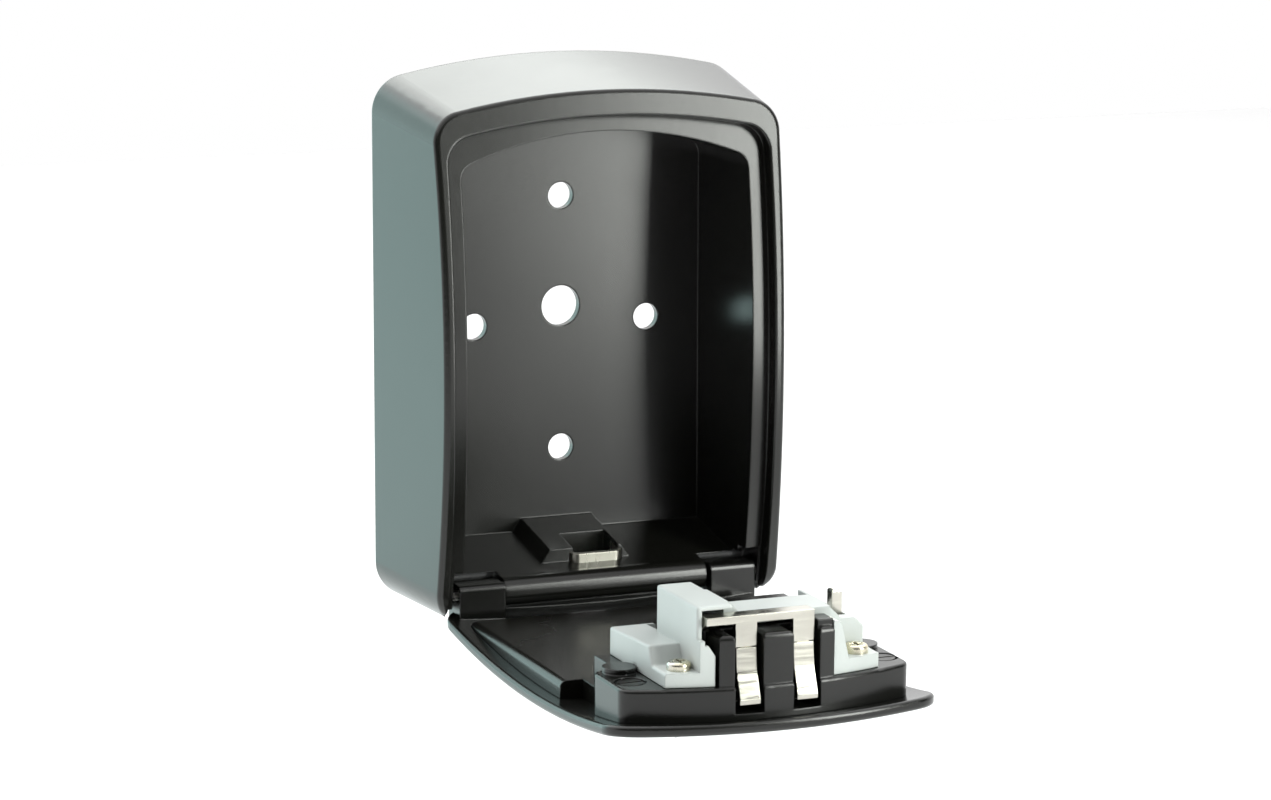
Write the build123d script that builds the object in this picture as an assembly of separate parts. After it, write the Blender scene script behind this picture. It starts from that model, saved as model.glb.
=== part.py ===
from build123d import *
import math
import os

# Wall-mounted combination key box, door lying open. Millimetres.
# X is to the right, Y points into the wall, Z is up. The origin is the middle of the wall hole pattern,
# on the back face. Every door piece is drawn in the closed position, from the hinge axis: s runs up the
# door and h runs inward, and at the end all of them are swung open together.

# ---- body ----
BACK_HALF_W = 52.5
FRONT_HALF_W = 47.8
BODY_TOP = 73.0
BODY_BOTTOM = -72.4
TOP_SAG = 6.5
DRAFT_DEPTH = 46.0
TOP_DRAFT = 8.9
BACK_CORNER_R = 10.0
FRONT_R = 339.0
FRONT_DEPTH = 43.6
FRONT_APEX_Z = -6.9
FAR_Y = FRONT_R - FRONT_DEPTH
BOTTOM_ROUND_R = 9.0
BACK_WALL = 2.5
RIM_ROUND = 1.4
SEAT_ROUND = 0.5

# ---- door seat and key space ----
SEAT_DEPTH = 4.2
SEAT_HALF_W = 45.2
SEAT_TOP = 59.5
SEAT_SAG = 5.0
SEAT_CORNER_R = 7.5
CAVITY_HALF_W = 40.5
CAVITY_TOP = 55.2
CAVITY_SAG = 8.2
CAVITY_CORNER_R = 4.5
FLOOR_BACK_Z = -57.05
FLOOR_SLOPE = 0.2016

PAD_RISE = 3.6
PAD_FRONT_Y = -24.0
WINDOW_X = (-5.0, 8.0)
WINDOW_Y = (-24.5, -14.0)
LOOP_T = 1.1
LOOP_RISE = 2.4

# ---- wall holes ----
HOLE_R = 3.6
HOLE_RISE = 34.4
HOLE_REACH = 24.9
CABLE_HOLE_R = 5.5
CABLE_HOLE_Z = 4.4

# ---- hinge ----
HINGE_Y = -30.0
HINGE_Z = -66.3
DOOR_OPEN = 91.0
KNUCKLE_R = 3.2
BAR_R = 3.9
HINGE_MID_X = 1.0
ARM_FRONT = 5.2
ARM_DROP = 7.0
ARM_ROUND = 1.6
ARM_ROOM = 5.9
LOW_CUT_HALF_W = 44.8
LOW_CUT_DEEP = 9.6
LOW_CUT_DROP = 3.0
LIP_X = (-27.4, 29.4)
LIP_S = (-3.2, -1.4)
LIP_H = (-6.5, -4.4)
PIN_R = 1.5
PIN_PLAY = 0.06
BAR_HALF_W = 29.0
ARM_IN = 29.5
ARM_OUT = 42.4
PIN_HALF_L = 47.0
BAR_X = (HINGE_MID_X - BAR_HALF_W, HINGE_MID_X + BAR_HALF_W)

# ---- door shell ----
DOOR_RECESS = 1.0
SKIN_R = FRONT_R - DOOR_RECESS
SKIN_CROWN = 1.8
SKIN_T = 2.8
SKIN_ROUND = 0.9
DOOR_HALF_W = 43.9
DOOR_MID_X = -0.8
DOOR_TOP = 59.0
DOOR_SAG = 6.2
DOOR_CORNER_R = 9.5
DOOR_BOTTOM = -69.5
RECESS_X = (-26.8, 24.0)
RECESS_S = (12.0, 114.0)
RECESS_P = -0.1

# ---- dials ----
DIAL_S = 100.5
DIAL_H = -0.75
DIAL_R = 10.0
DIAL_BORE_R = 7.0
DIAL_W = 7.0
DIAL_PITCH = 7.4
DIALS_MID_X = -1.4
DIAL_COUNT = 4
DIGITS = 10
AXLE_R = 2.0
FIT = 0.05

# ---- lock case and cover, as x, s and h from the hinge axis ----
CASE_HALF_W = 38.4
CASE_MID_X = -1.6
CASE_TOP_Z = 54.3
CASE_SAG = 7.6
CASE_H = 2.4
CASE_BACK_S = 92.5
NECK_X = (-33.5, 31.5)
NECK_S = (79.3, 96.0)
BLOCK_X = (-17.5, 14.7)
BLOCK_S = 86.0
BLOCK_H = 15.5
SWING_ROOM = 0.7
COLUMN_S = 110.0
COLUMN_X = (-17.0, 13.4)
DECK_H = -5.2
DECK_T = 1.4
DECK_S = (9.5, 73.0)
COVER_LIP = 1.5

# ---- latch ----
LATCH_LEGS = ((-12.3, -6.7), (2.9, 8.5))
LATCH_TRAVEL = 3.0
LEG_S = (115.6, 117.4)
BAR_H = (17.5, 19.4)
TIP_REACH_S = 120.4
HOOK_H = -2.1
SLOT_PLAY = 0.9

# ---- small parts of the lock ----
COVER_SCREW_X = (-24.7, 22.6)
COVER_SCREW_S = 111.6
CASE_SCREW_X = (-35.0, 32.6)
CASE_SCREW_S = 106.0
LEVER_S = 98.6
LEVER_TRAVEL = 4.0

# ---- shutter and its frame, as heights above the door's skin at its sides ----
FRAME_X = (-26.4, 23.6)
FRAME_S = (12.4, 113.6)
RAIL_X = 2.0
FACE_P = (-0.08, 0.42)
FRAME_P = 2.6
SHUTTER_P = (1.05, 1.85)
SHUTTER_X = (-24.0, 21.2)
SHUTTER_S = (66.0, 112.0)
THUMB_WINDOW_X = (-5.8, 3.0)
THUMB_WINDOW_S = (72.8, 85.2)

CLOSED_HINGE = Axis((0, HINGE_Y, HINGE_Z), (1, 0, 0))
FAR_AXIS = Axis((0, FAR_Y, FRONT_APEX_Z), (1, 0, 0))


# ---- helpers ----
def outline(half_w, low, high, sag, corner, y=0.0):
    """Upright arched outline, seen from the front, on the plane at this y."""
    base = Line((-half_w, low), (half_w, low))
    right = Line((half_w, low), (half_w, high - sag))
    arch = ThreePointArc((half_w, high - sag), (0, high), (-half_w, high - sag))
    left = Line((-half_w, high - sag), (-half_w, low))
    face = make_face(base + right + arch + left)
    face = fillet(face.vertices(), corner)
    return Plane((0, y, 0), x_dir=(1, 0, 0), z_dir=(0, -1, 0)) * face


def side_prism(points, x0, x1):
    """Solid with this y, z outline between two x values."""
    face = make_face(Polyline(*points, close=True))
    placed = Plane((x0, 0, 0), x_dir=(0, 1, 0), z_dir=(1, 0, 0)) * face
    return extrude(placed, x1 - x0)


def block(x, y, z):
    """Box between two corners, given as pairs."""
    size = [max(pair) - min(pair) for pair in (x, y, z)]
    mid = [(pair[0] + pair[1]) / 2 for pair in (x, y, z)]
    return Pos(*mid) * Box(*size)


def rod(radius, x0, x1, y, z):
    """Round bar along X."""
    return Pos((x0 + x1) / 2, y, z) * Rot(0, 90, 0) * Cylinder(radius, x1 - x0)


def door_block(x, s, h):
    """Box on the closed door."""
    return block(x, (HINGE_Y + h[0], HINGE_Y + h[1]), (HINGE_Z + s[0], HINGE_Z + s[1]))


def door_side_prism(points, x0, x1):
    """Solid on the closed door with this s, h outline."""
    return side_prism([(HINGE_Y + h, HINGE_Z + s) for s, h in points], x0, x1)


def door_rod(radius, x0, x1, s, h):
    """Round bar along X on the closed door."""
    return rod(radius, x0, x1, HINGE_Y + h, HINGE_Z + s)


def door_post(radius, x, s, h0, h1):
    """Round post that stands inward on the closed door."""
    return Pos(x, HINGE_Y + (h0 + h1) / 2, HINGE_Z + s) * Rot(90, 0, 0) * Cylinder(radius, abs(h1 - h0))


def door_section_prism(points, s0, s1):
    """Solid on the closed door with this x, h outline between two s values."""
    face = make_face(Polyline(*[(x, HINGE_Y + h) for x, h in points], close=True))
    return extrude(Pos(0, 0, HINGE_Z + s0) * face, s1 - s0)


def curved_band(x, s, proud):
    """Strip that follows the door's curved skin, between two heights above it."""
    low, high = (FAR_Y - SKIN_R - p for p in proud)
    mid_x = (x[0] + x[1]) / 2
    face = Pos(mid_x, (low + high) / 2, FRONT_APEX_Z) * Rectangle(x[1] - x[0], abs(low - high))
    angles = [math.degrees(math.asin((HINGE_Z + v - FRONT_APEX_Z) / SKIN_R)) for v in s]
    band = revolve(face, FAR_AXIS, angles[1] - angles[0])
    return band.rotate(FAR_AXIS, -angles[1])


def crowned_skin(depth):
    """Door's outer skin, curved both ways, to this depth below its outer face."""
    reach = 60.0
    fall = SKIN_CROWN * (reach / DOOR_HALF_W)**2
    peak = FAR_Y - SKIN_R - SKIN_CROWN
    outer = ThreePointArc((-reach, peak + fall), (0, peak), (reach, peak + fall))
    right = Line((reach, peak + fall), (reach, peak + fall + depth))
    inner = ThreePointArc((reach, peak + fall + depth), (0, peak + depth), (-reach, peak + fall + depth))
    left = Line((-reach, peak + fall + depth), (-reach, peak + fall))
    face = Pos(0, 0, FRONT_APEX_Z) * make_face(outer + right + inner + left)
    return revolve(face, FAR_AXIS, 26).rotate(FAR_AXIS, -13)


def swing(solid):
    """Take a door piece from closed to open."""
    return solid.rotate(CLOSED_HINGE, DOOR_OPEN)


def save(name, solid):
    """Write one sub-part."""
    export_step(solid, os.path.join("parts", name + ".step"))


# ---- body pieces ----
def body_blank():
    """Outer shape: drafted towards the front, cut by the long front curve."""
    back = outline(BACK_HALF_W, BODY_BOTTOM, BODY_TOP, TOP_SAG, BACK_CORNER_R)
    front = outline(FRONT_HALF_W, BODY_BOTTOM, BODY_TOP - TOP_DRAFT, TOP_SAG - 1.5, BACK_CORNER_R - 2,
                    -DRAFT_DEPTH)
    blank = loft([back, front])
    top_z = BODY_TOP + 5
    low_z = BODY_BOTTOM + 0.15
    low_y = FAR_Y - math.sqrt(FRONT_R**2 - (low_z - FRONT_APEX_Z)**2)
    high_y = FAR_Y - math.sqrt(FRONT_R**2 - (top_z - FRONT_APEX_Z)**2)
    curve = ThreePointArc((high_y, top_z), (-FRONT_DEPTH, FRONT_APEX_Z), (low_y, low_z))
    under = Line((low_y, low_z), (5, low_z))
    rear = Line((5, low_z), (5, top_z))
    over = Line((5, top_z), (high_y, top_z))
    face = make_face(curve + under + rear + over)
    corner = face.vertices().sort_by_distance((low_y, low_z))[0]
    face = fillet(corner, BOTTOM_ROUND_R)
    side = Plane((-60, 0, 0), x_dir=(0, 1, 0), z_dir=(1, 0, 0)) * face
    blank = blank & extrude(side, 120)
    rim = blank.faces().filter_by(GeomType.CYLINDER).sort_by(Axis.Y)[0]
    return fillet(rim.edges(), RIM_ROUND)


def door_seat_cut():
    """Everything in front of the recessed seat that the door closes against."""
    prism = extrude(outline(SEAT_HALF_W, -95, SEAT_TOP, SEAT_SAG, SEAT_CORNER_R, -20), 40)
    return prism - rod(FRONT_R - SEAT_DEPTH, -60, 60, FAR_Y, FRONT_APEX_Z)


def floor_z(y):
    """Height of the sloping floor at this depth."""
    return FLOOR_BACK_Z + FLOOR_SLOPE * (y + BACK_WALL)


def cavity_cut():
    """Key space: arched walls, flat back, floor that slopes down to the front."""
    prism = extrude(outline(CAVITY_HALF_W, -90, CAVITY_TOP, CAVITY_SAG, CAVITY_CORNER_R, -BACK_WALL), 50)
    far = -60
    above = side_prism([(0, 80), (0, floor_z(0)), (far, floor_z(far)), (far, 80)], -50, 50)
    return prism & above


def rear_core():
    """Hollow behind the thick walls, open to the back, as a casting is cored."""
    wall = 3.0
    deep = 16.0
    back = outline(BACK_HALF_W - wall, BODY_BOTTOM + wall, BODY_TOP - wall, TOP_SAG, 7, 1)
    narrow = (BACK_HALF_W - FRONT_HALF_W) * deep / DRAFT_DEPTH
    drop = TOP_DRAFT * deep / DRAFT_DEPTH
    front = outline(BACK_HALF_W - wall - narrow, BODY_BOTTOM + wall, BODY_TOP - wall - drop,
                    TOP_SAG, 7, -deep)
    core = outline(CAVITY_HALF_W + 2.5, floor_z(-deep) - 3, CAVITY_TOP + 2.5, CAVITY_SAG + 1, 6, 5)
    inner = extrude(core, 40)
    return loft([back, front]) - inner


def hinge_clearance():
    """Room for the door's arms and for its lower edge as it swings."""
    whole = rod(ARM_ROOM, -43.0, 44.4, HINGE_Y, HINGE_Z)
    keep = block(BAR_X, (-60, 0), (-90, 0))
    under = block((-LOW_CUT_HALF_W, LOW_CUT_HALF_W), (-60, HINGE_Y + LOW_CUT_DEEP),
                  (-90, HINGE_Z - LOW_CUT_DROP))
    ahead = block((-43.0, 44.4), (-60, HINGE_Y), (-90, HINGE_Z + 7.0))
    return (whole - keep) + under + ahead


def hinge_bar():
    """Rounded front edge of the floor, which carries the pin."""
    bar = rod(BAR_R, BAR_X[0], BAR_X[1], HINGE_Y, HINGE_Z)
    web = block(BAR_X, (HINGE_Y, -22), (HINGE_Z - KNUCKLE_R, floor_z(-22) - 1.6))
    return bar + web


def pad_section(y):
    """Sloped-side section of the floor pad at this depth."""
    low = floor_z(y) - 0.6
    high = floor_z(y) + PAD_RISE
    face = make_face(Polyline((-14.5, low), (12.0, low), (8.8, high), (-11.6, high), close=True))
    return Plane((0, y, 0), x_dir=(1, 0, 0), z_dir=(0, -1, 0)) * face


def floor_pad():
    """Raised pad on the floor, with sloped sides, that ends around the drain window."""
    return loft([pad_section(-BACK_WALL + 0.2), pad_section(PAD_FRONT_Y)])


def wall_holes():
    """Four screw holes and the larger middle hole, through the back wall."""
    places = [(0, HOLE_RISE), (0, -HOLE_RISE), (-HOLE_REACH, 0), (HOLE_REACH, 0)]
    holes = [Pos(x, 0, z) * Rot(90, 0, 0) * Cylinder(HOLE_R, 12) for x, z in places]
    holes.append(Pos(0, 0, CABLE_HOLE_Z) * Rot(90, 0, 0) * Cylinder(CABLE_HOLE_R, 12))
    return holes


def latch_keepers():
    """Pockets behind the top of the seat that the latch tips hook into."""
    pockets = []
    for x0, x1 in LATCH_LEGS:
        wide = (x0 - SLOT_PLAY, x1 + SLOT_PLAY)
        pockets.append(block(wide, (HINGE_Y + HOOK_H - 0.4, -17.5), (50.0, 58.2)))
    return pockets


def rounded_seat(body):
    """Soften the edge where the front face drops to the door seat."""
    edges = []
    for edge in body.edges():
        places = [edge @ t for t in (0.1, 0.5, 0.9)]
        level = max(abs(math.hypot(p.Y - FAR_Y, p.Z - FRONT_APEX_Z) - FRONT_R) for p in places)
        if level < 0.05 and abs(places[1].X) < SEAT_HALF_W + 0.2:
            edges.append(edge)
    return fillet(edges, SEAT_ROUND)


def body_shell():
    body = rounded_seat(body_blank() - door_seat_cut())
    body = body - cavity_cut() - rear_core()
    body = body - hinge_clearance()
    body = body + hinge_bar() + floor_pad()
    for cut in wall_holes() + latch_keepers():
        body = body - cut
    body = body - block(WINDOW_X, WINDOW_Y, (-80, -50))
    body = body - loop_blank()
    body = body - rod(PIN_R, -PIN_HALF_L, PIN_HALF_L, HINGE_Y, HINGE_Z)
    return body


def hinge_pin():
    return rod(PIN_R, -PIN_HALF_L + 0.2, PIN_HALF_L - 0.2, HINGE_Y, HINGE_Z)


def loop_blank():
    """Strip bent round the front of the floor window, from below the floor to above it."""
    mid_x = (WINDOW_X[0] + WINDOW_X[1]) / 2
    wide = WINDOW_X[1] - WINDOW_X[0]
    long = 2 * (-18.0 - WINDOW_Y[0])
    base = Pos(mid_x, -18.0, 0)
    outer = base * RectangleRounded(wide + 2 * LOOP_T, long + 2 * LOOP_T, 2.4)
    inner = base * RectangleRounded(wide, long, 1.4)
    strip = extrude(Pos(0, 0, -66) * (outer - inner), 14)
    front = block((-20, 20), (-40, -18.5), (-80, -40))
    slab = [(0, floor_z(0) + LOOP_RISE), (0, floor_z(0) - 1.6), (-40, floor_z(-40) - 1.6),
            (-40, floor_z(-40) + LOOP_RISE)]
    return strip & front & side_prism(slab, -20, 20)


def tether_loop():
    return loop_blank()


# ---- door pieces, drawn closed ----
def rounded_skin(skin):
    """Soften the door's rim all round, on its outer and its inner side."""
    outer = skin.faces().sort_by(SortBy.AREA)[-2:].sort_by(Axis.Y)[0]
    skin = fillet(outer.edges(), SKIN_ROUND)
    inner = skin.faces().sort_by(SortBy.AREA)[-2:].sort_by(Axis.Y)[-1]
    return fillet(inner.edges(), SKIN_ROUND)


def door_shell():
    """Thin crowned casting with two hinge arms, openings for dials and thumb slide, and a face recess."""
    prism = extrude(outline(DOOR_HALF_W, DOOR_BOTTOM, DOOR_TOP, DOOR_SAG, DOOR_CORNER_R, -20), 40)
    skin = rounded_skin(crowned_skin(SKIN_T) & (Pos(DOOR_MID_X, 0, 0) * prism))
    for side in (-1, 1):
        x = sorted((HINGE_MID_X + side * ARM_IN, HINGE_MID_X + side * ARM_OUT))
        arm = door_block(x, (-KNUCKLE_R, ARM_FRONT), (-ARM_DROP, KNUCKLE_R))
        arm = fillet(arm.edges().filter_by(Axis.X).group_by(Axis.Y)[-1], ARM_ROUND)
        knuckle = rod(KNUCKLE_R, x[0], x[1], HINGE_Y, HINGE_Z)
        skin = skin + arm + knuckle
    skin = skin + door_block(LIP_X, LIP_S, LIP_H)
    skin = skin - rod(PIN_R + PIN_PLAY, -60, 60, HINGE_Y, HINGE_Z)
    skin = skin - curved_band(RECESS_X, RECESS_S, (RECESS_P, 8.0))
    skin = skin - door_block((-16.8, 14.0), (DIAL_S - 10.6, DIAL_S + 10.6), (-18, 0))
    return skin - door_block(THUMB_WINDOW_X, THUMB_WINDOW_S, (-18, 0))


def skin_backing():
    """Everything behind the inner face of the door's skin."""
    return crowned_skin(60.0) - crowned_skin(SKIN_T + 0.02)


def door_liner():
    """Shallow black tray over the lower half of the door."""
    low = -14
    tray = door_block((-40.0, 39.2), DECK_S, (low, DECK_H))
    tray = fillet(tray.edges().filter_by(Axis.Z).group_by(Axis.Y)[-1], 1.8)
    hollow = door_block((-38.6, 37.8), (DECK_S[0] + DECK_T, DECK_S[1] - DECK_T), (low - 1, DECK_H - DECK_T))
    channel = door_block((-20.4, 4.0), (62.0, DECK_S[1] + 1), (low - 1, DECK_H - DECK_T))
    return (tray - hollow - channel) & skin_backing()


def case_outline(inset, h0, h1, corner):
    """The lock case's arched outline, drawn in by an inset, between two heights."""
    low = HINGE_Z + CASE_BACK_S + inset
    face = outline(CASE_HALF_W - inset, low, CASE_TOP_Z - inset, CASE_SAG, corner, HINGE_Y + h1)
    return Pos(CASE_MID_X, 0, 0) * extrude(face, h1 - h0)


def lock_case():
    """Black casting that holds the dials and guides the latches."""
    low = -16
    case = case_outline(0, low, CASE_H, 4.0)
    case = fillet(case.edges().group_by(Axis.Y)[-1], 0.8)
    neck = door_block(NECK_X, NECK_S, (low, CASE_H))
    front = outline(CASE_HALF_W, HINGE_Z + BLOCK_S, CASE_TOP_Z - SWING_ROOM, CASE_SAG, 2.0,
                    HINGE_Y + BLOCK_H)
    front = Pos(CASE_MID_X, 0, 0) * extrude(front, BLOCK_H - low)
    columns = front & door_block(COLUMN_X, (COLUMN_S - 1, 130), (low, BLOCK_H - 0.4))
    for x0, x1 in LATCH_LEGS:
        columns = columns - door_block((x0 - SLOT_PLAY, x1 + SLOT_PLAY), (112.3, 130), (-4.3, 40))
    tops = columns.edges().group_by(Axis.Y)[-1]
    columns = fillet([edge for edge in tops if (edge @ 0.5).Z > HINGE_Z + 112.5], 1.3)
    tall = door_block(BLOCK_X, (BLOCK_S, COLUMN_S), (low, BLOCK_H))
    shelf = door_block((-34.0, 33.0), (DECK_S[1] + 0.1, NECK_S[0] + 2), (low, DECK_H))
    cheek = door_block((LATCH_LEGS[1][1] + SLOT_PLAY, COLUMN_X[1]), (112.4, 117.6), (0, BLOCK_H + 1.2))
    case = case + neck + columns + tall + shelf + cheek
    for x in (-33.8, 31.4):
        case = case + door_post(4.2, x, 96.2, 0, CASE_H + 1.4)
    for x in CASE_SCREW_X:
        case = case - door_post(4.0, x, CASE_SCREW_S, CASE_H - 0.8, CASE_H + 1)
        case = case - door_post(1.3, x, CASE_SCREW_S, low, CASE_H)
    for x in COVER_SCREW_X:
        case = case - door_post(1.3, x, COVER_SCREW_S, -4, CASE_H + 1)
    case = case & skin_backing()
    case = case - door_block((-37.6, -21.0), (94.6, 101.0), (low, 0.2))
    case = case - door_block((18.2, 34.4), (94.6, 101.0), (low, 0.2))
    case = case - door_block((-16.4, 13.6), (DIAL_S - 10.3, DIAL_S + 10.6), (low, 13.8))
    case = case - door_rod(AXLE_R + 0.02, BLOCK_X[0] - 1, BLOCK_X[1] - 0.6, DIAL_S, DIAL_H)
    for x0, x1 in LATCH_LEGS:
        case = case - door_block((x0 - SLOT_PLAY, x1 + SLOT_PLAY), (112.3, 130), (-4.3, 40))
    case = case - door_block((-20.4, -17.9), (72.0, 114.2), (low, 40))
    return case - door_block((-20.4, 6.0), (66.0, 87.0), (low, DECK_H - 1.1))


def mechanism_cover():
    """Grey moulded cover: low block each side, tall block on the left and a bridge over the dials."""
    low = CASE_H + 0.1
    left_side = [(79.6, low), (79.6, 9.4), (104.5, 10.6), (106.6, 6.0), (120.0, 6.0), (120.0, low)]
    left = door_side_prism(left_side, -29.6, -17.7)
    left = fillet(left.edges().filter_by(lambda edge: (edge @ 0.5).Y > HINGE_Y + low + 0.5), 0.7)
    gusset = [(-21.5, low), (-21.5, 13.8), (-20.2, 13.8), (-17.7, 10.0), (-17.7, low)]
    left = left + door_section_prism(gusset, 103.0, 120.0)
    tower = door_block((-21.5, -12.2), (90.0, 115.2), (low, 21.8))
    tower = fillet(tower.edges().filter_by(Axis.Y) + tower.edges().group_by(Axis.Y)[-1], 0.7)
    tower = tower - door_block((-17.7, -10), (80, 120), (0, BLOCK_H + 0.3))
    roof = [(-13.0, 18.0), (-13.0, 21.8), (-12.0, 21.8), (-8.6, 18.4), (-8.6, 18.0)]
    bridge = door_block((-12.4, 15.4), (99.0, 111.8), (BLOCK_H + 0.3, 18.2))
    bridge = bridge + door_section_prism(roof, 99.0, 111.8)
    right_top = [(14.9, low), (14.9, 18.2), (15.8, 18.2), (20.2, 13.8), (23.8, 13.8), (26.0, 11.6),
                 (26.0, low)]
    right = door_section_prism(right_top, 94.0, 108.3)
    right = fillet(right.edges().filter_by(Axis.Z).sort_by(Axis.X)[-4:].sort_by(Axis.Y)[1:], 0.7)
    foot = [(COLUMN_X[1] + 0.2, low), (COLUMN_X[1] + 0.2, 16.2), (15.8, 15.4), (18.2, 6.0), (27.4, 6.0),
            (27.4, low)]
    right = right + door_section_prism(foot, COLUMN_S + 0.2, 120.0)
    right = right + door_section_prism([(14.9, low), (14.9, 6.0), (27.4, 6.0), (27.4, low)], 104.0, 112.0)
    step = [(14.9, low), (14.9, 15.4), (15.8, 15.4), (18.2, 6.0), (18.2, low)]
    right = right + door_section_prism(step, 104.0, 112.0)
    cover = left + tower + bridge + right
    cover = cover & (case_outline(COVER_LIP, -2, 30, 2.5) + door_block((-60, 60), (60, 112), (-2, 30)))
    cover = cover - door_block((-28.3, -17.0), (80.9, 103.6), (0, 8.2))
    cover = cover - door_block((-20.3, -17.0), (80.9, 116.4), (0, 9.8))
    cover = cover - door_block((-20.3, -17.0), (91.3, 116.4), (0, 20.8))
    cover = cover - door_block((-20.3, -13.2), (91.3, 122), (12.6, 20.8))
    cover = cover - door_block((-14.0, -5.0), (111.8, 122), (12.6, 20.8))
    cover = cover - door_block((16.1, 24.8), (95.3, 107.0), (0, 12.4))
    cover = cover - door_block((20.8, 24.7), (LEVER_S - 1.9, LEVER_S + 1.9 + LEVER_TRAVEL), (8, 20))
    for x in (-33.8, 31.4):
        cover = cover - door_post(4.4, x, 96.2, 0, CASE_H + 1.8)
    for x in COVER_SCREW_X:
        cover = cover - door_post(1.5, x, COVER_SCREW_S, 0, 8)
    return cover


def pan_head_screw(x, s, seat, length):
    """Pan head screw with a cross recess."""
    head = door_post(3.0, x, s, seat, seat + 2.1)
    head = fillet(head.edges().group_by(Axis.Y)[-1], 0.9)
    shank = door_post(1.25, x, s, seat - length, seat)
    cross = door_block((x - 1.7, x + 1.7), (s - 0.35, s + 0.35), (seat + 1.1, seat + 3))
    cross = cross + door_block((x - 0.35, x + 0.35), (s - 1.7, s + 1.7), (seat + 1.1, seat + 3))
    return head + shank - cross


def cover_screws():
    seats = (6.0, 6.0)
    return Compound([pan_head_screw(x, COVER_SCREW_S, seat, 7.0) for x, seat in zip(COVER_SCREW_X, seats)])


def case_screws():
    return Compound([flat_head_screw(x, CASE_SCREW_S) for x in CASE_SCREW_X])


def flat_head_screw(x, s):
    """Low cheese-head screw in the case's round recess."""
    seat = CASE_H - 0.8
    head = door_post(3.2, x, s, seat, seat + 0.7)
    shank = door_post(1.25, x, s, seat - 5.0, seat)
    slot = door_block((x - 4, x + 4), (s - 0.4, s + 0.4), (seat + 0.35, seat + 2))
    return head + shank - slot


def dial_centre(index):
    """Middle of one dial along X."""
    return DIALS_MID_X + DIAL_PITCH * (index - (DIAL_COUNT - 1) / 2)


def dial_ring(index):
    """Number ring with a shallow finger groove between each pair of numbers."""
    mid = dial_centre(index)
    x0 = mid - DIAL_W / 2
    x1 = mid + DIAL_W / 2
    ring = door_rod(DIAL_R, x0, x1, DIAL_S, DIAL_H)
    ring = chamfer(ring.edges().filter_by(GeomType.CIRCLE), 0.5)
    ring = ring - door_rod(DIAL_BORE_R, x0 - 1, x1 + 1, DIAL_S, DIAL_H)
    for k in range(DIGITS):
        turn = 2 * math.pi * k / DIGITS
        s = DIAL_S + (DIAL_R + 0.9) * math.cos(turn)
        h = DIAL_H + (DIAL_R + 0.9) * math.sin(turn)
        ring = ring - door_rod(1.6, x0 - 1, x1 + 1, s, h)
    return ring


def dial_hub(index):
    """Code hub that turns with its ring, with a notch for the latch fence."""
    mid = dial_centre(index)
    x0 = mid - DIAL_W / 2 + 0.2
    x1 = mid + DIAL_W / 2 - 0.2
    hub = door_rod(DIAL_BORE_R - FIT, x0, x1, DIAL_S, DIAL_H)
    hub = hub - door_rod(AXLE_R + FIT, x0 - 1, x1 + 1, DIAL_S, DIAL_H)
    return hub - door_block((x0 - 1, x1 + 1), (DIAL_S - 1.1, DIAL_S + 1.1), (DIAL_H + 4.6, DIAL_H + 9))


def dial_axle():
    return door_rod(AXLE_R, BLOCK_X[0] + 0.1, BLOCK_X[1] - 0.8, DIAL_S, DIAL_H)


def detent_spring():
    """Flat spring with one finger over each dial."""
    spring = door_block((-15.8, 13.0), (105.0, 110.8), (12.9, 13.4))
    for index in range(DIAL_COUNT):
        mid = dial_centre(index)
        finger = door_side_prism([(105.5, 12.9), (105.5, 13.4), (98.0, 9.9), (96.0, 10.4), (96.0, 10.0),
                                  (98.0, 9.4)], mid - 2.4, mid + 2.4)
        spring = spring + finger
    return spring


def latch_yoke():
    """Bright stamping: bar over the case, two legs turned down, and an arm to the thumb slide."""
    yoke = door_block((-19.9, LATCH_LEGS[1][1]), (113.0, LEG_S[1]), BAR_H)
    for x0, x1 in LATCH_LEGS:
        yoke = yoke + door_block((x0, x1), LEG_S, (11.7, BAR_H[1]))
        yoke = yoke + door_block((x0 + 1.2, x1 - 1.2), (115.9, 116.9), (8.0, 11.8))
    arm = [(116.6, BAR_H[1]), (116.6, 17.6), (109.0, 13.0), (109.0, -4.6), (96.0, -6.6), (73.0, -8.4),
           (73.0, -7.3), (90.0, -5.6), (103.0, -3.0), (103.0, BAR_H[1])]
    yoke = yoke + door_side_prism(arm, -19.9, -18.4)
    return yoke + door_block((-19.9, 2.2), (73.0, 82.0), (-8.4, -7.3))


def latch_tip(index):
    """Bevelled block below a leg, with the hook that goes behind the body's rim."""
    x0, x1 = LATCH_LEGS[index]
    side = [(LEG_S[0], 11.4), (117.5, 11.4), (118.0, 5.6), (TIP_REACH_S, -1.0), (TIP_REACH_S, HOOK_H),
            (LEG_S[0], HOOK_H)]
    tip = door_side_prism(side, x0 + 0.1, x1 - 0.1)
    return tip - door_block((x0 + 1.2, x1 - 1.2), (115.9, 116.9), (8.0, 12))


def thumb_slide():
    """Ribbed slide in the door's window that draws the latches back."""
    x = (THUMB_WINDOW_X[0] + 0.4, THUMB_WINDOW_X[1] - 0.4)
    s = (THUMB_WINDOW_S[0] + 0.5, THUMB_WINDOW_S[1] - 0.5 - LATCH_TRAVEL)
    slide = door_block(x, s, (-18, -8.4)) & rod(SKIN_R + FACE_P[1] + 0.1, -60, 60, FAR_Y, FRONT_APEX_Z)
    for k in range(4):
        at = s[0] + 1.2 + 1.8 * k
        groove = (FACE_P[1] - 0.5, FACE_P[1] + 2)
        slide = slide - curved_band((x[0] + 0.8, x[1] - 0.8), (at, at + 0.8), groove)
    return slide


def slide_rivets():
    return Compound([door_post(1.1, x, 77.5, -7.3, -6.8) for x in (-3.4, 0.6)])


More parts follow.
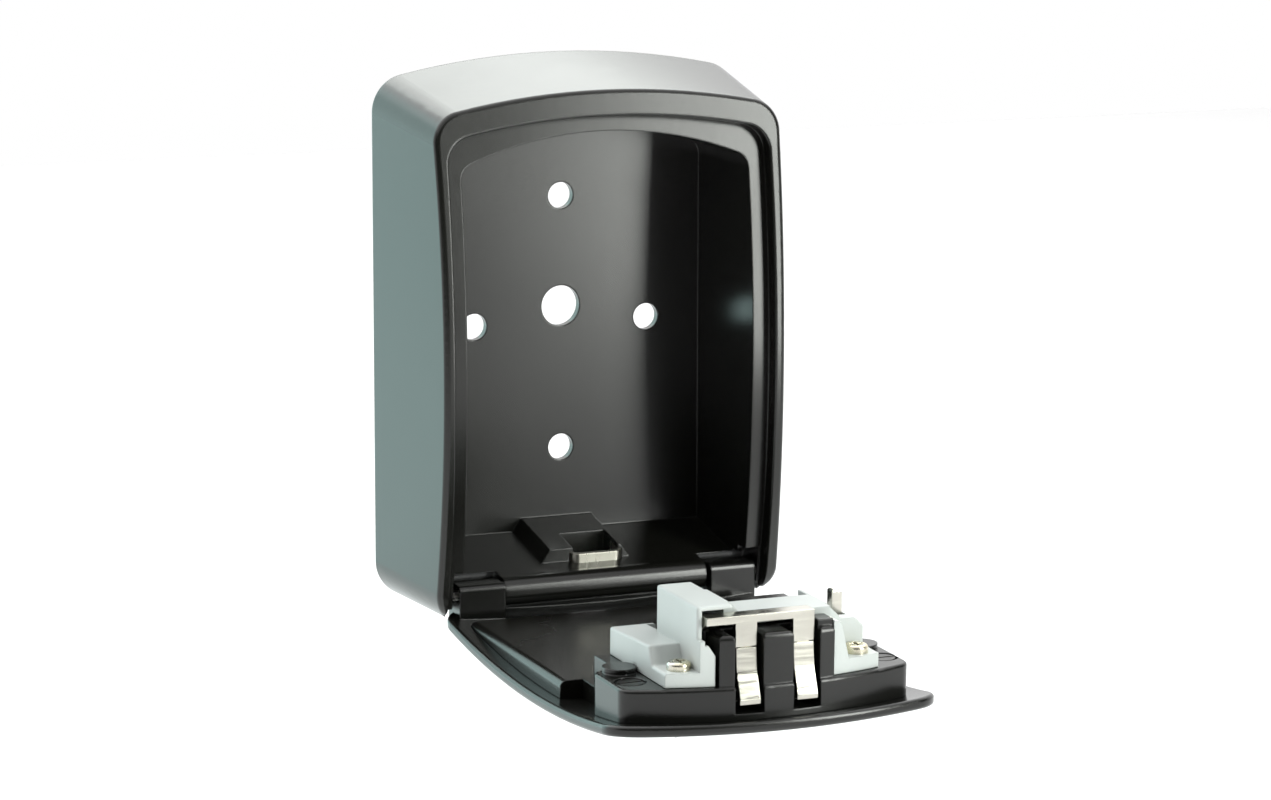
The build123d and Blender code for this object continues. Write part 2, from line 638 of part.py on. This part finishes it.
def reset_lever():
    """Flat pin that stands out of the cover, on a foot inside it."""
    pin = door_block((21.4, 24.1), (LEVER_S - 1.4, LEVER_S + 1.4), (9.0, 19.0))
    pin = fillet(pin.edges().group_by(Axis.Y)[-1], 0.6)
    foot = door_block((16.6, 24.3), (LEVER_S - 2.8, LEVER_S + 3.2), (7.6, 9.0))
    return pin + foot


def front_frame():
    """Frame set in the door's face recess: plate with dial and thumb windows, and grooved side rails."""
    x0, x1 = FRAME_X
    frame = curved_band(FRAME_X, FRAME_S, FACE_P)
    frame = frame + curved_band(FRAME_X, (FRAME_S[1] - 1.2, FRAME_S[1]), (FACE_P[0], SHUTTER_P[1]))
    frame = frame + curved_band(FRAME_X, (FRAME_S[0], FRAME_S[0] + 1.6), (FACE_P[0], FRAME_P))
    for wall, ledge in (((x0, x0 + RAIL_X), (x0, x0 + 3.6)), ((x1 - RAIL_X, x1), (x1 - 3.6, x1))):
        frame = frame + curved_band(wall, FRAME_S, (FACE_P[0], SHUTTER_P[1] + 0.25))
        frame = frame + curved_band(ledge, (FRAME_S[0], 104.0), (SHUTTER_P[1] + 0.25, FRAME_P))
    frame = frame - door_block((-16.8, 14.0), (DIAL_S - 6.6, DIAL_S + 6.6), (-30, 0))
    return frame - door_block(THUMB_WINDOW_X, THUMB_WINDOW_S, (-30, 0))


def shutter():
    """Curved weather shutter with grip ribs."""
    plate = curved_band(SHUTTER_X, SHUTTER_S, SHUTTER_P)
    for k in range(5):
        s = 69.0 + 2.6 * k
        plate = plate + curved_band((-14.0, 11.2), (s, s + 1.2), (SHUTTER_P[1] - 0.1, SHUTTER_P[1] + 0.8))
    return plate


os.makedirs("parts", exist_ok=True)
fixed = {"body_shell": body_shell, "hinge_pin": hinge_pin, "tether_loop": tether_loop}
hung = {"door_shell": door_shell, "door_liner": door_liner, "lock_case": lock_case,
        "mechanism_cover": mechanism_cover, "cover_screws": cover_screws, "case_screws": case_screws,
        "dial_axle": dial_axle, "detent_spring": detent_spring, "latch_yoke": latch_yoke,
        "thumb_slide": thumb_slide, "slide_rivets": slide_rivets, "reset_lever": reset_lever,
        "front_frame": front_frame, "shutter": shutter}
for name, make in fixed.items():
    save(name, make())
for name, make in hung.items():
    save(name, swing(make()))
for index in range(DIAL_COUNT):
    save(f"dial_ring_{index + 1}", swing(dial_ring(index)))
    save(f"dial_hub_{index + 1}", swing(dial_hub(index)))
for index, side in enumerate(("left", "right")):
    save(f"latch_tip_{side}", swing(latch_tip(index)))
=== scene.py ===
import math

import bmesh
import bpy
from mathutils import Matrix, Vector


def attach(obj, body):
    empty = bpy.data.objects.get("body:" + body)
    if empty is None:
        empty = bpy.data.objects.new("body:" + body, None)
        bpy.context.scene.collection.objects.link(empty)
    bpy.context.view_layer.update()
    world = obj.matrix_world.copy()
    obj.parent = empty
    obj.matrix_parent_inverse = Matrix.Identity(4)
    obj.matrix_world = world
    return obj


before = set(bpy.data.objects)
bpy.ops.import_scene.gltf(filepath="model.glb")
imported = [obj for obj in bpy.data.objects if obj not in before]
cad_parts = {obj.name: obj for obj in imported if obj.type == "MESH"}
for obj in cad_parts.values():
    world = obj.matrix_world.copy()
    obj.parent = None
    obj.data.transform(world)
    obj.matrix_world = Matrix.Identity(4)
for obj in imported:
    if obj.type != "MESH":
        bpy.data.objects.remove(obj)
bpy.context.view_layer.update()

# ---------------------------------------------------------------- measures (metres)
MM = 0.001
HINGE = Vector((0.0, -30.0, -66.3)) * MM
OPEN = math.radians(91.0)
DIAL_S = 100.5 * MM
DIAL_H = -0.75 * MM
DIAL_R = 10.0 * MM
DIALS = 4
DIAL_MIDDLE_X = -1.4
DIAL_PITCH = 7.4
DIAL_X = [(DIAL_MIDDLE_X + DIAL_PITCH * (i - (DIALS - 1) / 2)) * MM for i in range(DIALS)]


def door_point(x, s, h):
    """Point given in the door's own measures: x across, s from the hinge, h up from its inner face."""
    closed = Vector((x, h, s))
    return HINGE + Matrix.Rotation(OPEN, 3, "X") @ closed


# ---------------------------------------------------------------- materials (edge radii in metres)
EDGE_SAMPLES = 6
# Painted edge highlight: the paint's edges and corners are lightened to a dark grey in patches,
# standing in for light caught on rounded edges.
EDGE_HIGHLIGHT_RADIUS = 0.0007
EDGE_HIGHLIGHT_RANGE = (0.80, 0.97)
EDGE_HIGHLIGHT_PATCHES = (0.52, 0.70)
PAINTED_EDGE_HIGHLIGHT = (0.03, 0.03, 0.03, 1)


def new_material(name):
    mat = bpy.data.materials.new(name)
    mat.use_nodes = True
    nodes = mat.node_tree.nodes
    nodes.clear()
    out = nodes.new("ShaderNodeOutputMaterial")
    bsdf = nodes.new("ShaderNodeBsdfPrincipled")
    mat.node_tree.links.new(bsdf.outputs[0], out.inputs[0])
    return mat, bsdf


def link(mat, a, b):
    mat.node_tree.links.new(a, b)


def coords(mat, stretch=(1, 1, 1)):
    """The object's own coordinates, scaled along each axis."""
    tree = mat.node_tree
    tex = tree.nodes.new("ShaderNodeTexCoord")
    mapping = tree.nodes.new("ShaderNodeMapping")
    mapping.inputs["Scale"].default_value = stretch
    link(mat, tex.outputs["Object"], mapping.inputs[0])
    return mapping.outputs[0]


def noise(mat, where, scale, detail=3.0, rough=0.55):
    node = mat.node_tree.nodes.new("ShaderNodeTexNoise")
    node.inputs["Scale"].default_value = scale
    node.inputs["Detail"].default_value = detail
    node.inputs["Roughness"].default_value = rough
    link(mat, where, node.inputs["Vector"])
    return node.outputs["Fac"]


def voronoi(mat, where, scale):
    node = mat.node_tree.nodes.new("ShaderNodeTexVoronoi")
    node.inputs["Scale"].default_value = scale
    link(mat, where, node.inputs["Vector"])
    return node.outputs["Distance"]


def ramp(mat, value, stops):
    """Colours a texture value by a list of two stops, each a position and a colour."""
    node = mat.node_tree.nodes.new("ShaderNodeValToRGB")
    element = node.color_ramp.elements
    element[0].position, element[0].color = stops[0]
    element[1].position, element[1].color = stops[1]
    link(mat, value, node.inputs[0])
    return node.outputs["Color"]


def scaled(colour, factor):
    """The same colour, lighter or darker."""
    return tuple(min(1, c * factor) for c in colour[:3]) + (1,)


def spread(mat, value, low, high, at=(0.3, 0.7)):
    """Turns a texture value into a range of numbers."""
    node = mat.node_tree.nodes.new("ShaderNodeMapRange")
    node.inputs["From Min"].default_value = at[0]
    node.inputs["From Max"].default_value = at[1]
    node.inputs["To Min"].default_value = low
    node.inputs["To Max"].default_value = high
    link(mat, value, node.inputs["Value"])
    return node.outputs["Result"]


def blend_colour(mat, factor, a, b):
    """Mixes two colours, of which a is a node's output and b a plain colour."""
    node = mat.node_tree.nodes.new("ShaderNodeMix")
    node.data_type = "RGBA"
    link(mat, factor, node.inputs["Factor"])
    link(mat, a, node.inputs["A"])
    node.inputs["B"].default_value = b
    return node.outputs["Result"]


def bump(mat, height, strength, distance, before):
    """Adds a bump to a normal."""
    node = mat.node_tree.nodes.new("ShaderNodeBump")
    node.inputs["Strength"].default_value = strength
    node.inputs["Distance"].default_value = distance
    link(mat, height, node.inputs["Height"])
    link(mat, before, node.inputs["Normal"])
    return node.outputs["Normal"]


def soft_edges(mat, radius):
    """Normal rounded over at edges, so that they catch light."""
    node = mat.node_tree.nodes.new("ShaderNodeBevel")
    node.samples = EDGE_SAMPLES
    node.inputs["Radius"].default_value = radius
    return node.outputs["Normal"]


def edge_factor(mat, radius, low, high):
    """1 along edges and in corners, 0 on flat faces, from how far a rounded normal turns."""
    tree = mat.node_tree
    geometry = tree.nodes.new("ShaderNodeNewGeometry")
    dot = tree.nodes.new("ShaderNodeVectorMath")
    dot.operation = "DOT_PRODUCT"
    link(mat, soft_edges(mat, radius), dot.inputs[0])
    link(mat, geometry.outputs["Normal"], dot.inputs[1])
    return spread(mat, dot.outputs["Value"], 1.0, 0.0, (low, high))


def satin_paint(name, base, roughness, edge_radius):
    """Sprayed paint on a casting: faint orange peel, slow sheen changes, and a painted highlight: edges
    and corners lightened to dark grey in patches.
    """
    mat, bsdf = new_material(name)
    where = coords(mat)
    slow = noise(mat, where, 18, 3)
    fine = noise(mat, where, 420, 2)
    grain = noise(mat, where, 2600, 1)
    # Painted highlight: a mask of edges and corners, broken into patches, that mixes a lighter dark
    # grey into the paint colour.
    edge_highlight = edge_factor(mat, EDGE_HIGHLIGHT_RADIUS, *EDGE_HIGHLIGHT_RANGE)
    highlight_patches = spread(mat, noise(mat, where, 230, 4), 0.0, 1.0, EDGE_HIGHLIGHT_PATCHES)
    mult = mat.node_tree.nodes.new("ShaderNodeMath")
    mult.operation = "MULTIPLY"
    link(mat, edge_highlight, mult.inputs[0])
    link(mat, highlight_patches, mult.inputs[1])
    tint = ramp(mat, slow, [(0.3, base), (0.75, scaled(base, 1.2))])
    link(mat, blend_colour(mat, mult.outputs[0], tint, PAINTED_EDGE_HIGHLIGHT), bsdf.inputs["Base Color"])
    link(mat, spread(mat, slow, roughness - 0.02, roughness + 0.03), bsdf.inputs["Roughness"])
    normal = soft_edges(mat, edge_radius)
    normal = bump(mat, fine, 0.05, 0.00020, normal)
    link(mat, bump(mat, grain, 0.12, 0.00004, normal), bsdf.inputs["Normal"])
    return mat


def moulded(name, base, roughness, grain_scale, edge_radius):
    """Injection-moulded plastic with a spark-eroded grain."""
    mat, bsdf = new_material(name)
    where = coords(mat)
    slow = noise(mat, where, 30, 3)
    grain = voronoi(mat, where, grain_scale)
    tint = ramp(mat, slow, [(0.3, scaled(base, 0.93)), (0.7, scaled(base, 1.06))])
    link(mat, tint, bsdf.inputs["Base Color"])
    link(mat, spread(mat, slow, roughness - 0.04, roughness + 0.06), bsdf.inputs["Roughness"])
    normal = soft_edges(mat, edge_radius)
    normal = bump(mat, grain, 0.18, 0.00008, normal)
    link(mat, bump(mat, slow, 0.08, 0.0004, normal), bsdf.inputs["Normal"])
    return mat


def metal(name, base, roughness, stretch, edge_radius, stain=None):
    """Plated or brushed metal with fine drawn lines and slight handling marks."""
    mat, bsdf = new_material(name)
    lines = noise(mat, coords(mat, stretch), 900, 4, 0.6)
    where = coords(mat)
    slow = noise(mat, where, 60, 4)
    second = stain or scaled(base, 0.86)
    link(mat, ramp(mat, slow, [(0.32, second), (0.62, base)]), bsdf.inputs["Base Color"])
    bsdf.inputs["Metallic"].default_value = 1.0
    link(mat, spread(mat, lines, roughness - 0.06, roughness + 0.10), bsdf.inputs["Roughness"])
    normal = soft_edges(mat, edge_radius)
    link(mat, bump(mat, lines, 0.10, 0.00006, normal), bsdf.inputs["Normal"])
    return mat


paint = satin_paint("body_paint", (0.0062, 0.0064, 0.0052, 1), 0.24, 0.0006)
door_paint = satin_paint("door_paint", (0.0052, 0.0054, 0.0046, 1), 0.22, 0.0006)
case_paint = satin_paint("case_paint", (0.0050, 0.0052, 0.0044, 1), 0.23, 0.0006)
black_plastic = moulded("black_plastic", (0.009, 0.009, 0.0095, 1), 0.38, 2600, 0.0004)
liner_plastic = moulded("liner_plastic", (0.0060, 0.0058, 0.0046, 1), 0.26, 3200, 0.0006)
grey_plastic = moulded("grey_plastic", (0.52, 0.555, 0.54, 1), 0.42, 2600, 0.0005)
nickel = metal("bright_nickel", (0.62, 0.605, 0.54, 1), 0.19, (0.08, 1, 1), 0.0003)
pin_steel = metal("pin_steel", (0.60, 0.59, 0.55, 1), 0.26, (0.05, 1, 1), 0.0002)
dark_steel = metal("loop_steel", (0.42, 0.41, 0.36, 1), 0.30, (1, 1, 0.1), 0.0003)
black_oxide = metal("black_oxide", (0.045, 0.044, 0.042, 1), 0.32, (1, 1, 1), 0.0002)
zinc_stain = (0.55, 0.57, 0.60, 1)
zinc_yellow = metal("plated_screw", (0.74, 0.66, 0.42, 1), 0.24, (1, 1, 1), 0.0002, zinc_stain)
dial_metal = metal("dial_alloy", (0.50, 0.51, 0.52, 1), 0.34, (0.1, 1, 1), 0.0002)
brass_hub = metal("hub_brass", (0.70, 0.55, 0.28, 1), 0.30, (1, 1, 1), 0.0002)
ink = moulded("digit_ink", (0.01, 0.01, 0.011, 1), 0.45, 2600, 0.0001)

finish = {
    "body_shell": paint,
    "door_shell": door_paint,
    "door_liner": liner_plastic,
    "lock_case": case_paint,
    "mechanism_cover": grey_plastic,
    "cover_screws": zinc_yellow,
    "case_screws": black_oxide,
    "hinge_pin": pin_steel,
    "tether_loop": dark_steel,
    "dial_axle": pin_steel,
    "detent_spring": pin_steel,
    "latch_yoke": nickel,
    "latch_tip_left": nickel,
    "latch_tip_right": nickel,
    "slide_rivets": nickel,
    "reset_lever": nickel,
    "thumb_slide": dial_metal,
    "front_frame": black_plastic,
    "shutter": black_plastic,
}
for i in range(1, DIALS + 1):
    finish[f"dial_ring_{i}"] = dial_metal
    finish[f"dial_hub_{i}"] = brass_hub

for node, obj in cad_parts.items():
    if not obj.material_slots:
        obj.data.materials.append(None)
    for slot in obj.material_slots:
        slot.link = "OBJECT"
        slot.material = finish[node]


# ---------------------------------------------------------------- numbers on the dials
DIGIT_TALL = 3.3 * MM
DIGIT_PROUD = 0.06 * MM
DIGIT_SUNK = 0.10 * MM
DIGITS = 10
DIGIT_WELD = 1e-5
DIGIT_CURVE_STEPS = 3


def flat_digit(text):
    """Outline mesh of one digit, its middle at the origin, 1 unit tall."""
    curve = bpy.data.curves.new("digit", "FONT")
    curve.body = text
    curve.resolution_u = DIGIT_CURVE_STEPS
    source = bpy.data.objects.new("digit", curve)
    bpy.context.collection.objects.link(source)
    mesh = bpy.data.meshes.new_from_object(source)
    bpy.data.objects.remove(source)
    points = [v.co.copy() for v in mesh.vertices]
    low = [min(p[i] for p in points) for i in (0, 1)]
    high = [max(p[i] for p in points) for i in (0, 1)]
    tall = high[1] - low[1]
    middle = Vector(((low[0] + high[0]) / 2, (low[1] + high[1]) / 2, 0))
    for v in mesh.vertices:
        v.co = (v.co - middle) / tall
    return mesh


def dial_numbers(index):
    """Ten raised digits wrapped round one dial."""
    joined = bmesh.new()
    for k in range(DIGITS):
        digit = bmesh.new()
        digit.from_mesh(flat_digit(str(k)))
        bmesh.ops.remove_doubles(digit, verts=digit.verts, dist=DIGIT_WELD)
        walls = bmesh.ops.extrude_face_region(digit, geom=digit.faces[:])["geom"]
        for v in digit.verts:
            v.co.z = -DIGIT_SUNK
        for item in walls:
            if isinstance(item, bmesh.types.BMVert):
                item.co.z = DIGIT_PROUD
        bmesh.ops.recalc_face_normals(digit, faces=digit.faces)
        for v in digit.verts:
            turn = math.radians(-360.0 / DIGITS * k) + v.co.y * DIGIT_TALL / DIAL_R
            reach = DIAL_R + v.co.z
            x = DIAL_X[index] + v.co.x * DIGIT_TALL
            v.co = door_point(x, DIAL_S + reach * math.sin(turn), DIAL_H - reach * math.cos(turn))
        part = bpy.data.meshes.new("part")
        digit.to_mesh(part)
        digit.free()
        joined.from_mesh(part)
    mesh = bpy.data.meshes.new(f"dial_numbers_{index + 1}")
    joined.to_mesh(mesh)
    joined.free()
    obj = bpy.data.objects.new(mesh.name, mesh)
    obj.data.materials.append(ink)
    bpy.context.collection.objects.link(obj)
    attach(obj, f"dial_{index + 1}")


for i in range(DIALS):
    dial_numbers(i)


# ---------------------------------------------------------------- stage
FLOOR_Z = -0.34
FLOOR_HALF = 3.0
FLOOR_WHITE = 0.96


def plain_white(name, value):
    """Matt white of a given albedo."""
    mat, bsdf = new_material(name)
    bsdf.inputs["Base Color"].default_value = (value, value, value, 1)
    bsdf.inputs["Roughness"].default_value = 0.9
    bsdf.inputs["Specular IOR Level"].default_value = 0.1
    return mat


def sheet(name, corners, mat):
    """One flat face of the stage."""
    mesh = bpy.data.meshes.new(name)
    mesh.from_pydata(corners, [], [tuple(range(len(corners)))])
    obj = bpy.data.objects.new(name, mesh)
    obj.data.materials.append(mat)
    bpy.context.collection.objects.link(obj)


floor_sides = ((-1, -1), (1, -1), (1, 1), (-1, 1))
floor_corners = [(x * FLOOR_HALF, y * FLOOR_HALF, FLOOR_Z) for x, y in floor_sides]
sheet("floor", floor_corners, plain_white("floor_white", FLOOR_WHITE))

ROOM_BEHIND = 1.35
ROOM_AHEAD = 0.03
ROOM_FADE = 0.35


def studio_world(behind, ahead):
    """Room that is white behind the object and dark in front of it; the camera sees plain white."""
    world = bpy.data.worlds.new("studio")
    bpy.context.scene.world = world
    world.use_nodes = True
    tree = world.node_tree
    background = tree.nodes["Background"]
    where = tree.nodes.new("ShaderNodeTexCoord")
    split = tree.nodes.new("ShaderNodeSeparateXYZ")
    tree.links.new(where.outputs["Generated"], split.inputs[0])
    fade = tree.nodes.new("ShaderNodeMapRange")
    fade.interpolation_type = "SMOOTHSTEP"
    fade.inputs["From Min"].default_value = -ROOM_FADE
    fade.inputs["From Max"].default_value = ROOM_FADE
    fade.inputs["To Min"].default_value = ahead
    fade.inputs["To Max"].default_value = behind
    tree.links.new(split.outputs["Y"], fade.inputs["Value"])
    path = tree.nodes.new("ShaderNodeLightPath")
    mix = tree.nodes.new("ShaderNodeMix")
    mix.inputs["B"].default_value = 1.0
    tree.links.new(path.outputs["Is Camera Ray"], mix.inputs["Factor"])
    tree.links.new(fade.outputs["Result"], mix.inputs["A"])
    tree.links.new(mix.outputs["Result"], background.inputs["Strength"])
    background.inputs["Color"].default_value = (1, 1, 1, 1)


studio_world(ROOM_BEHIND, ROOM_AHEAD)


def softbox(name, at, towards, size, radiance, colour=(1, 1, 1)):
    """Rectangular lamp of a given brightness, unseen by the camera."""
    light = bpy.data.lights.new(name, "AREA")
    light.shape = "RECTANGLE"
    light.size, light.size_y = size
    light.energy = radiance * math.pi * size[0] * size[1]
    light.color = colour
    obj = bpy.data.objects.new(name, light)
    obj.location = at
    obj.rotation_euler = (Vector(towards) - Vector(at)).to_track_quat("-Z", "Y").to_euler()
    obj.visible_camera = False
    bpy.context.collection.objects.link(obj)


softbox("strip_right", (0.345, -0.60, 0.16), (0.02, -0.02, 0.13), (0.15, 0.54), 17.0, (0.97, 1.0, 0.95))
softbox("back_top", (0.10, 0.50, 0.46), (0, -0.02, 0.07), (0.62, 0.30), 2.5, (0.93, 1.0, 0.94))
softbox("cool_left", (-0.45, 0.85, 0.15), (0, -0.02, 0.0), (0.95, 0.95), 1.0, (0.40, 1.0, 0.95))
softbox("ceiling", (0, 0.6, 1.7), (0, 0.6, 0), (5.0, 5.0), 1.1)

# ---------------------------------------------------------------- camera
EYE = Vector((-0.42039, -1.06118, 0.18631))
TARGET = Vector((0.012627, -0.025, -0.018592))
ROLL = math.radians(0.154)
SENSOR_MM = 36
LENS_MM = 120.94
FAR_CLIP = 20

camera_data = bpy.data.cameras.new("camera")
camera = bpy.data.objects.new("camera", camera_data)
bpy.context.collection.objects.link(camera)
aim = (TARGET - EYE).to_track_quat("-Z", "Y").to_matrix()
turned = aim @ Matrix.Rotation(ROLL, 3, "Z")
camera.matrix_world = Matrix.Translation(EYE) @ turned.to_4x4()
camera_data.sensor_width = SENSOR_MM
camera_data.lens = LENS_MM
camera_data.clip_end = FAR_CLIP
bpy.context.scene.camera = camera
bpy.context.scene.view_settings.view_transform = "Standard"
bpy.context.scene.view_settings.look = "None"
